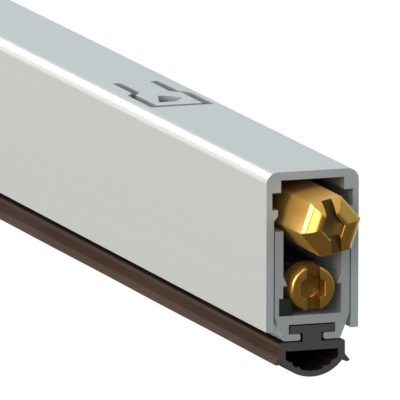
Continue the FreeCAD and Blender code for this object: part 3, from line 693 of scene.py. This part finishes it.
def rubber(name, side_colour, cut_colour):
    """Extruded rubber: brown skin with fine lines along it, and neutral dark grey where it is cut.
    Its fins get painted light, a band below the slab's top gets painted light, and the top's edge
    gets a painted shadow under the casing's edge."""
    material, tree, shader = start_material(name)
    drawn = use_group(tree, drawn_lines, Width=rubber_line_width, Length=rubber_line_length)
    sawn = use_group(tree, sawn_end, Width=rubber_saw_width)
    deep = dimmed(side_colour, rubber_dullness)
    side = colour_between(tree, scaled(tree, drawn["Line"]), deep, side_colour)
    axes = object_axes(tree)
    outward = computed(tree, "ABSOLUTE", axes["Y"])
    # Painted light on the fins and in a band below the slab's top, and a painted shadow at the
    # top's edge.
    for place_on, edge, band, colour in (
        (outward, slab_half, fin_painted_light_band, rubber_fin_painted_light),
        (axes["Z"], slab_top, painted_light_band, rubber_painted_light),
        (axes["Z"], slab_top, painted_shadow_band, rubber_painted_shadow),
    ):
        share = mapped(tree, place_on, edge + band[0], edge + band[1])
        side = colour_between(tree, share, side, colour)
    feed(tree, shader, {
        "Base Color": colour_between(tree, sawn["Cut"], side, cut_colour),
        "Roughness": scaled(tree, drawn["Cloud"], *rubber_roughness),
        "Specular IOR Level": rubber_shine,
        "Normal": bump(tree, drawn["Line"], rubber_relief, rubber_line_depth),
    })
    return material


low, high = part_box("gasket")
head_top = high.z - head_gap
head_bottom = head_top - head_height
slab_top = head_bottom - stem_height
bulb_middle = low.z + bulb_radius
fin_root = slab_top - fin_below_slab
fin_tip = fin_root - fin_drop
bulb_swing = math.asin((slab_half - fin_thickness) / bulb_radius)

# The skin's outline goes down the right side, round the bulb and up the left side.
# Each corner is y, z and the radius of its round.
right = [
    (head_half, head_top, 0.00015),
    (head_half, head_bottom, 0.00015),
    (stem_half, head_bottom, 0.0001),
    (stem_half, slab_top, 0.0001),
    (slab_half, slab_top, 0.00035),
    (slab_half, fin_root, 0.0003),
    (slab_half + fin_reach, fin_tip, 0.0001),
    (slab_half + fin_reach - fin_thickness, fin_tip - fin_thickness / 2, 0.0001),
]
bend = np.linspace(bulb_swing, -bulb_swing, bulb_points)
bulb_y, bulb_z = bulb_radius * np.sin(bend), bulb_middle - bulb_radius * np.cos(bend)
bulb = np.column_stack([bulb_y, bulb_z, np.zeros(bulb_points)]).tolist()
left = [(-y, z, radius) for y, z, radius in reversed(right)]
gasket_outline = round_corners(right + bulb + left, corner_points)

# The hollow has a flat ceiling, and a round floor with four small ribs, each a bell-shaped wave.
inner_radius = bulb_radius - bulb_wall
inner_swing = math.asin(chamber_half / inner_radius)
bend = np.linspace(inner_swing, -inner_swing, chamber_floor_points)
rib_wave = sum(np.exp(-(((bend - math.radians(rib)) / chamber_rib_spread) ** 2))
               for rib in chamber_rib_places)
reach = inner_radius - chamber_rib * rib_wave
ceiling_y = np.linspace(-chamber_half, chamber_half, chamber_top_points)
ceiling_z = np.full(chamber_top_points, slab_top - slab_thickness)
ceiling = np.column_stack([ceiling_y, ceiling_z])
floor_arc = np.column_stack([reach * np.sin(bend), bulb_middle - reach * np.cos(bend)])
chamber_outline = np.vstack([ceiling, floor_arc])


def gasket_ripple(x):
    """A slight wander of the soft rubber: sine waves along X, under 0.03 mm across and up, and
    none next to the near end."""
    across = wander_across * np.sin(x * 95)
    upward = wander_upward * np.sin(x * 140 + 1)
    return np.column_stack([across, upward]) * (x < high.x - wander_end)[:, None]


stations = np.linspace(low.x, high.x, gasket_rings)
skin = carried_profile(gasket_outline, stations, gasket_ripple)
hollow = carried_profile(chamber_outline, stations, gasket_ripple)
skin_count, hollow_count = len(gasket_outline), len(chamber_outline)
points = np.vstack([skin, hollow])
skin_faces = grid_faces(gasket_rings, skin_count, True)[:, ::-1]
hollow_faces = grid_faces(gasket_rings, hollow_count, True)[:, ::-1] + len(skin)
caps = np.array(end_triangles(gasket_outline, [chamber_outline]))
near = np.where(caps < skin_count, caps, caps - skin_count + len(skin))
last_skin, last_hollow = (gasket_rings - 1) * skin_count, (gasket_rings - 1) * hollow_count
far = np.where(caps < skin_count, near + last_skin, near + last_hollow)
faces = skin_faces.tolist() + hollow_faces.tolist() + near[:, ::-1].tolist() + far.tolist()
brown_rubber = rubber("brown_rubber", rubber_side_colour, rubber_cut_colour)
# The hollow's faces get near-black rubber: painted shade inside the chamber.
chamber_shaded_rubber = rubber("chamber_shaded_rubber", chamber_shade_colour, rubber_cut_colour)
seal = make_piece("seal_rubber", points, faces, brown_rubber)
seal.data.materials.append(chamber_shaded_rubber)
in_chamber = np.zeros(len(faces), dtype=int)
in_chamber[len(skin_faces):len(skin_faces) + len(hollow_faces)] = 1
seal.data.polygons.foreach_set("material_index", in_chamber)
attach(seal, "drop_bar")
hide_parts("gasket")


# Damping strip: soft dark plastic, laid in the bar's lower left corner.
# It keeps the shoes and the screw block from rattling.
strip_colour = (0.009, 0.009, 0.009, 1)
strip_roughness = 0.75
strip_grain = 0.0003
strip_shine = 0.12

strip_plastic = moulded("strip_plastic", strip_colour, strip_roughness, strip_grain, strip_shine)
dress("corner_strip", strip_plastic)


# Shoes and screw block: black nylon, slid under the bar's ribs.
# The shoes are riveted to the springs, and the block takes the adjusting screw's thread.
for name in ("front_shoe", "rear_shoe", "screw_block"):
    dress(name, black_nylon)
dress("shoe_rivets", zinc_steel)


# Leaf springs: bowed strips of hardened steel with rolled eyes, riveted to the shoes at the middle.
# One eye is pinned to a fixed block and one to a slider, and pushing them together drops the bar.
leaf_thickness = 0.0005
leaf_width = 0.0046
eye_radius = 0.00135
eye_inset = 0.0016
eye_roll = math.radians(300)
eye_rings = 30
arc_rings = 40


def leaf_points(eye_x, eye_z, middle_x, middle_z):
    """Rings of a flat strip: from the middle it follows an arc that is level there and reaches the
    foot of the eye, then it rolls round the pin for most of a turn. Each ring is a rectangle
    across the path."""
    side = math.copysign(1, eye_x - middle_x)
    half, sag = abs(eye_x - middle_x), eye_z - eye_radius - middle_z
    radius = (half**2 + sag**2) / (2 * sag)
    slope = math.asin(half / radius)
    arc = np.linspace(0, slope, arc_rings)
    roll = np.linspace(slope, slope + eye_roll, eye_rings)[1:]
    arc_x, arc_z = radius * np.sin(arc), radius * (1 - np.cos(arc))
    roll_x = arc_x[-1] + eye_radius * (np.sin(roll) - math.sin(slope))
    roll_z = arc_z[-1] - eye_radius * (np.cos(roll) - math.cos(slope))
    x, z = np.concatenate([arc_x, roll_x]), np.concatenate([arc_z, roll_z])
    heading = np.concatenate([arc, roll])
    normal = np.column_stack([-np.sin(heading), np.cos(heading)]) * leaf_thickness / 2
    upper, lower = np.column_stack([x, z]) + normal, np.column_stack([x, z]) - normal
    rings = []
    for flat, y in ((upper, -1), (upper, 1), (lower, 1), (lower, -1)):
        across = np.full(len(x), y * leaf_width / 2)
        rings.append(np.column_stack([middle_x + side * flat[:, 0], across, middle_z + flat[:, 1]]))
    ring = np.stack(rings, axis=1)
    return (ring if side < 0 else ring[:, ::-1]).reshape(-1, 3)


def leaf_piece(name, points, node):
    """Close a strip of leaf spring, which stands for a CAD node."""
    points, faces = close_ends(points, grid_faces(len(points) // 4, 4, True), 4)
    piece = make_piece(name, points, faces, blued_steel, smooth=False)
    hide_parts(node)
    return piece


# In the seal the anchor half bends between casing and bar; here it stays in place. The slider's eye
# moves with the rod and the slider half with the bar, and a slit of 0.2 mm inside the slider leaves
# it room to turn.
pin_low, pin_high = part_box("slider_pins")
eye_height = (pin_low.z + pin_high.z) / 2
for name in ("front_leaf_spring", "rear_leaf_spring"):
    low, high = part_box(name)
    middle = Vector(((low.x + high.x) / 2, 0, low.z + leaf_thickness / 2))
    anchor_x = low.x + eye_inset
    points = leaf_points(anchor_x, eye_height, middle.x, middle.z)
    half = leaf_piece(f"{name}_anchor_half", points, name)
    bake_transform(half)
    points = leaf_points(high.x - eye_inset, eye_height, middle.x, middle.z)
    eye = leaf_piece(f"{name}_slider_eye", points[4 * arc_rings:], name)
    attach(eye, "push_rod")
    half = leaf_piece(f"{name}_slider_half", points[:4 * arc_rings], name)
    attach(half, "drop_bar")
    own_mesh(half)


# Adjusting screw: brass, with a threaded shank and a round head that has a slot and a key socket.
# It is turned to set how far the bar drops.
head_radius = 0.0033
head_length = 0.0043
head_edge = 0.0003
head_edge_rings = 8
shank_radius = 0.0020
shank_rings = 170
thread_pitch = 0.0007
thread_depth = 0.00022
thread_steepness = 1.35
thread_flat = 0.1
screw_socket = 0.00175
screw_socket_depth = 0.0026
screw_socket_round = 0.00015
screw_socket_edge = 0.00008
screw_socket_turn = math.radians(30)
screw_slot = 0.0020
screw_slot_depth = 0.0016
screw_slot_length = 0.009
screw_columns = 192
screw_front_roughness = 0.20
screw_side_metal = 0.74

low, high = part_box("adjusting_screw")
screw_height = (low.z + high.z) / 2
face_x, neck_x, tip_x = high.x, high.x - head_length, low.x
socket_floor = face_x - screw_socket_depth
stations = [(tip_x, axis_radius, 0), (tip_x, shank_radius - 0.0004, 0)]
thread_start = len(stations)
shank_x = np.linspace(tip_x + 0.0003, neck_x - 0.001, shank_rings)
stations += [(x, shank_radius, 0) for x in shank_x]
thread_end = len(stations)
stations += [
    (neck_x - 0.0008, shank_radius - thread_depth, 0),
    (neck_x - 0.0002, shank_radius - thread_depth, 0),
    (neck_x, shank_radius, 0),
    (neck_x, head_radius - 0.0002, 0),
    (neck_x + 0.0002, head_radius, 0),
    (neck_x + 0.0020, head_radius, 0),
]
for bend in np.linspace(0, np.pi / 2, head_edge_rings):
    x = face_x - head_edge * (1 - math.sin(bend))
    stations.append((x, head_radius - head_edge * (1 - math.cos(bend)), 0))
stations += [
    (face_x, screw_socket + 0.0005, 0.6),
    (face_x, screw_socket + screw_socket_edge, 1),
    (face_x - screw_socket_edge, screw_socket, 1),
    (socket_floor + screw_socket_round, screw_socket, 1),
    (socket_floor, screw_socket - screw_socket_round, 1),
    (socket_floor - socket_cone, axis_radius, 0),
]
angle = np.linspace(0, 2 * np.pi, screw_columns, endpoint=False)
socket_shape = hexagon_radius(angle, screw_socket_turn, hexagon_sharpness)
points = turned_points(stations, angle, socket_shape, screw_height)
points = points.reshape(len(stations), screw_columns, 3)

# The thread is a groove whose phase grows along X and falls round the shank.
shank = points[thread_start:thread_end]
phase = (shank[..., 0] / thread_pitch - angle[None, :] / (2 * np.pi)) % 1
groove = thread_depth * np.clip(thread_steepness * np.abs(2 * phase - 1) - thread_flat, 0, 1)
shrink = 1 - groove / shank_radius
shank[..., 1] *= shrink
shank[..., 2] = screw_height + (shank[..., 2] - screw_height) * shrink
faces = grid_faces(len(stations), screw_columns, True)
points, faces = close_ends(points.reshape(-1, 3), faces, screw_columns)
screw_brass = brass("screw_brass", brass_colour, brass_dark, screw_front_roughness,
                    screw_side_metal, screw_tip)
screw = make_piece("adjusting_screw_body", points, faces, screw_brass)
paint_socket_shade(screw, screw_columns, 3, shaded_recess_brass, unshaded_rows=(2,))
slot = slot_cutter("screw_slot", face_x, screw_slot_depth, screw_slot, screw_slot_length, 0,
                   screw_height, shaded_recess_brass)
cut_away(screw, [slot])
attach(screw, "adjusting_screw")
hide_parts("adjusting_screw")


# Stage: a plain pale floor far below, because the seal is held by its roof in the door.
# It is white to the camera, and clear from below and in metal and glass, which show the studio.
floor_height = -0.14
floor_half = 4.0
floor_points = 9
floor_colour = (0.30, 0.30, 0.30, 1)
floor_roughness = 0.9
plain_white = (1, 1, 1, 1)

material, tree, shader = start_material("pale_floor")
feed(tree, shader, {"Base Color": floor_colour, "Roughness": floor_roughness})
path = place(tree, "LightPath").outputs
white = place(tree, "Emission", {"Color": plain_white, "Strength": 1.0})
clear = place(tree, "BsdfTransparent")
camera_ray = path["Is Camera Ray"]
lit = place(tree, "MixShader", {0: camera_ray, 1: shader.outputs[0], 2: white.outputs[0]})
in_metal = computed(tree, "MAXIMUM", path["Is Glossy Ray"], path["Is Transmission Ray"])
from_below = place(tree, "NewGeometry").outputs["Backfacing"]
unseen = computed(tree, "MAXIMUM", in_metal, from_below)
shown = place(tree, "MixShader", {0: unseen, 1: lit.outputs[0], 2: clear.outputs[0]})
feed(tree, tree.nodes["Material Output"], {"Surface": shown.outputs[0]})
across = np.linspace(-floor_half, floor_half, floor_points)
floor_x, floor_y = (grid.ravel() for grid in np.meshgrid(across, across, indexing="ij"))
points = np.column_stack([floor_x, floor_y, np.full(floor_points**2, floor_height)])
faces = grid_faces(floor_points, floor_points, False)[:, ::-1]
floor = make_piece("floor", points, faces, material, smooth=False)


# World: a plain studio, white to the camera and in glass, with a warm left and a cool right side
# for the seal and its metal. The light that falls on the seal is dimmer from below.
warm_left = (1.0, 0.985, 0.95, 1)
cool_right = (0.80, 0.93, 1.0, 1)
light_from_below = 0.20
light_from_above = 0.80

world = bpy.data.worlds.new("studio")
bpy.context.scene.world = world
world.use_nodes = True
tree = world.node_tree
tree.nodes.clear()
direction = place(tree, "TexCoord")
axes = place(tree, "SeparateXYZ", {"Vector": direction.outputs["Generated"]}).outputs
side = mapped(tree, axes["Y"], -0.5, 0.5)
tint = colour_between(tree, side, warm_left, cool_right)
rise = mapped(tree, axes["Z"], -0.5, -0.1, light_from_below, light_from_above, soft=True)
path = place(tree, "LightPath").outputs
level = number_between(tree, path["Is Glossy Ray"], rise, 1.0)
room = place(tree, "Background", {"Color": tint, "Strength": level})
backdrop = place(tree, "Background", {"Color": plain_white, "Strength": 1.0})
seen = computed(tree, "MAXIMUM", path["Is Camera Ray"], path["Is Transmission Ray"])
shown = place(tree, "MixShader", {0: seen, 1: room.outputs[0], 2: backdrop.outputs[0]})
place(tree, "OutputWorld", {"Surface": shown.outputs[0]})


# Lamps: soft boxes at the left, in front and at the right of the knob, and three behind the seal
# whose shine lies along the casing's left corner, its left wall and its roof.
knob_place = Vector((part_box("push_knob")[1].x, 0, rod_height))


def soft_box(name, direction, distance, width, height, power, colour):
    """An area lamp that looks at the knob from a direction."""
    lamp = bpy.data.lights.new(name, "AREA")
    lamp.shape = "RECTANGLE"
    lamp.size, lamp.size_y = width, height
    lamp.energy = power
    lamp.color = colour
    box = bpy.data.objects.new(name, lamp)
    bpy.context.scene.collection.objects.link(box)
    ray = Vector(direction).normalized()
    turn = ray.to_track_quat("Z", "Y").to_matrix().to_4x4()
    box.matrix_world = Matrix.Translation(knob_place + ray * distance) @ turn
    box.visible_camera = False
    return box


soft_box("left_box", (0.22, -0.88, 0.40), 1.6, 0.62, 0.9, 16.8, (1, 0.97, 0.92))
soft_box("left_strip", (0.625, -0.756, 0.193), 1.6, 0.235, 0.8, 1.8, (1, 0.97, 0.90))
soft_box("back_box", (-0.926, -0.16, 0.27), 2.2, 0.75, 0.40, 11, (1, 0.99, 0.97))
soft_box("wall_glow", (-0.926, -0.38, 0.03), 2.2, 0.40, 0.55, 1.1, (1, 0.99, 0.95))
soft_box("roof_glow", (-0.926, 0.13, 0.36), 2.2, 0.7, 0.26, 0.2, (0.93, 0.98, 1))
soft_box("front_box", (0.88, -0.44, 0.18), 2.0, 1.3, 1.3, 15, (1, 0.98, 0.96))
right_box = soft_box("right_box", (0.10, 0.92, 0.28), 1.8, 0.5, 0.7, 4.6, (1, 0.98, 0.94))
right_box.visible_glossy = False


# Cards: three bowl-shaped flags, low in front of the seal, at its right and under its far end,
# which only metal shows. They give the brass its dark and olive sides, and fade out to their rims.
card_distance = 0.5
card_rings = 20
card_columns = 60
card_first_lean = 0.01


def flag_card(name, way, solid_reach, full_reach, colour, level):
    """Part of a sphere round the knob: lean from its middle direction runs to the full reach, and
    it is solid up to the solid reach. Both are in degrees."""
    solid_reach, full_reach = math.radians(solid_reach), math.radians(full_reach)
    way = Vector(way).normalized()
    across = way.orthogonal().normalized()
    upward = way.cross(across)
    turn = np.linspace(0, 2 * np.pi, card_columns, endpoint=False)
    lean = np.linspace(card_first_lean, full_reach, card_rings)
    lean, turn = (grid[..., None] for grid in np.meshgrid(lean, turn, indexing="ij"))
    ways = (np.cos(lean) * np.array(way) + np.sin(lean) * np.cos(turn) * np.array(across)
            + np.sin(lean) * np.sin(turn) * np.array(upward))
    points = np.array(knob_place) + card_distance * ways.reshape(-1, 3)
    material, tree, shader = start_material(name)
    coordinate = place(tree, "TexCoord").outputs["Object"]
    middle = knob_place + way * card_distance
    gap = place(tree, "VectorMath", {0: coordinate, 1: middle}, operation="DISTANCE")
    solid_gap = 2 * card_distance * math.sin(solid_reach / 2)
    full_gap = 2 * card_distance * math.sin(full_reach / 2)
    fade = mapped(tree, gap.outputs["Value"], solid_gap, full_gap, soft=True)
    dark = place(tree, "Emission", {"Color": colour, "Strength": level})
    clear = place(tree, "BsdfTransparent")
    shown = place(tree, "MixShader", {0: fade, 1: dark.outputs[0], 2: clear.outputs[0]})
    feed(tree, tree.nodes["Material Output"], {"Surface": shown.outputs[0]})
    card = make_piece(name, points, grid_faces(card_rings, card_columns, True), material)
    card.visible_camera = False
    card.visible_diffuse = False
    card.visible_shadow = False
    card.visible_transmission = False


flag_card("low_card", (0.35, 0.10, -0.93), 58, 84, (1.0, 0.92, 0.75, 1), 0.17)
flag_card("right_card", (0.25, 0.93, -0.05), 26, 56, (0.80, 1.0, 1.0, 1), 0.56)
flag_card("under_card", (-0.925, 0.03, -0.37), 9, 17, (1.0, 0.90, 0.78, 1), 0.06)


# Camera: at the photograph's viewing angle, a little rolled, with a long lens.
# It is aimed beside and above the bar's end face, so the bar lies in the frame as it does there.
camera_azimuth = math.radians(19.698)
camera_elevation = math.radians(10.434)
camera_roll = math.radians(0.207)
camera_distance = 2.4274
camera_lens = 1530
camera_sensor = 36
camera_nearest = 0.1
camera_farthest = 100
aim_right_of_end = -0.016060
aim_above_end = 0.007154
end_face = Vector((0.165, 0, -0.011575))

back = Vector((math.cos(camera_azimuth) * math.cos(camera_elevation),
               -math.sin(camera_azimuth) * math.cos(camera_elevation), math.sin(camera_elevation)))
level_right = Vector((math.sin(camera_azimuth), math.cos(camera_azimuth), 0))
level_up = back.cross(level_right)
image_right = level_right * math.cos(camera_roll) + level_up * math.sin(camera_roll)
image_up = level_up * math.cos(camera_roll) - level_right * math.sin(camera_roll)
camera_data = bpy.data.cameras.new("camera")
camera_data.sensor_width = camera_sensor
camera_data.lens = camera_lens
camera_data.clip_start = camera_nearest
camera_data.clip_end = camera_farthest
camera = bpy.data.objects.new("camera", camera_data)
bpy.context.scene.collection.objects.link(camera)
aim = end_face + image_right * aim_right_of_end + image_up * aim_above_end
turn = Matrix((image_right, image_up, back)).transposed().to_4x4()
camera.matrix_world = Matrix.Translation(aim + back * camera_distance) @ turn
bpy.context.scene.camera = camera

bpy.context.scene.view_settings.view_transform = "Standard"
